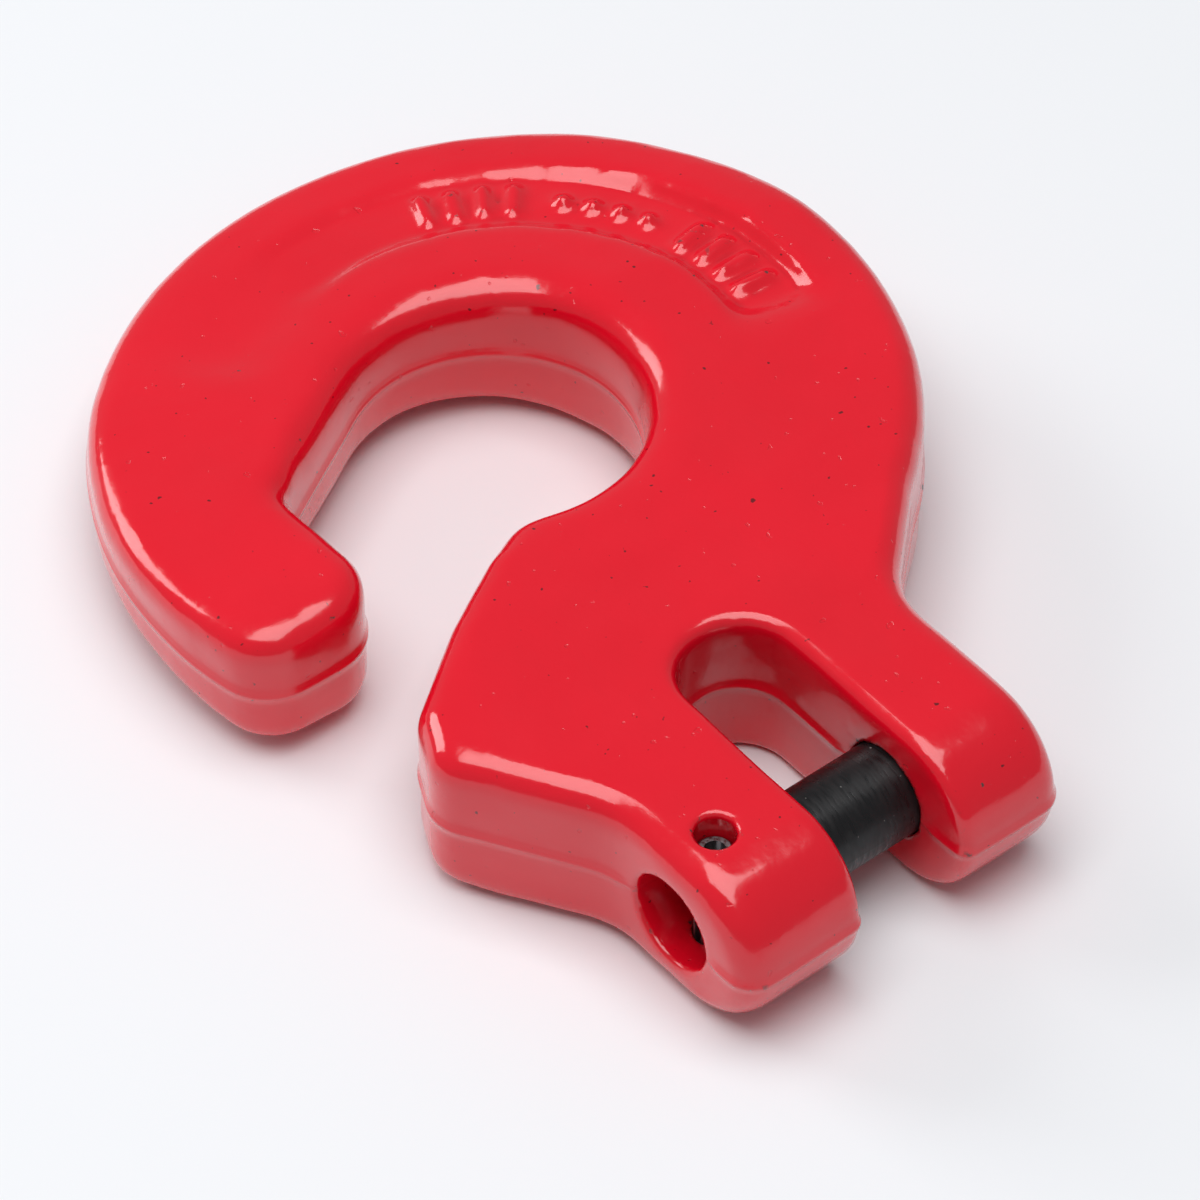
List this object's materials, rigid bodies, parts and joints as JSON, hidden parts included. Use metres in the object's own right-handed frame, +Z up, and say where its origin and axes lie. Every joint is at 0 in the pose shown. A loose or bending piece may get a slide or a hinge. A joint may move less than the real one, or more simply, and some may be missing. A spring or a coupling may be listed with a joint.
{
  "type": "clevis chain hook",
  "caption": "Forged C-shaped safety chain hook with a forked clevis, a plain load pin across the jaw and a slotted retaining pin through the near ear.",
  "frame": {"origin": "centre of the hook's bounding box, on the forging's parting plane, with the hook lying flat", "axes": "+X from the back of the bowl to the clevis, +Y along the load pin to the far ear, +Z up from the face it lies on"},
  "size_m": [0.1014, 0.076, 0.0168],
  "materials": {
    "red_powder_coat": "gloss",
    "black_pin_steel": "satin black",
    "spring_steel": "satin"
  },
  "bodies": {
    "hook": {"hook_body": "red_powder_coat"},
    "load_pin": {"load_pin": "black_pin_steel"},
    "retaining_pin": {"retaining_pin": "spring_steel"}
  },
  "joints": [
    {"name": "load_pin_turn", "type": "hinge", "parent": "hook", "child": "load_pin", "pos_m": [0.04025, -0.0048, 0], "axis": [0, 1, 0], "continuous": true},
    {"name": "retaining_pin_drive", "type": "slide", "parent": "hook", "child": "retaining_pin", "axis": [0, 0, 1], "range_m": [0, 0.016]}
  ]
}
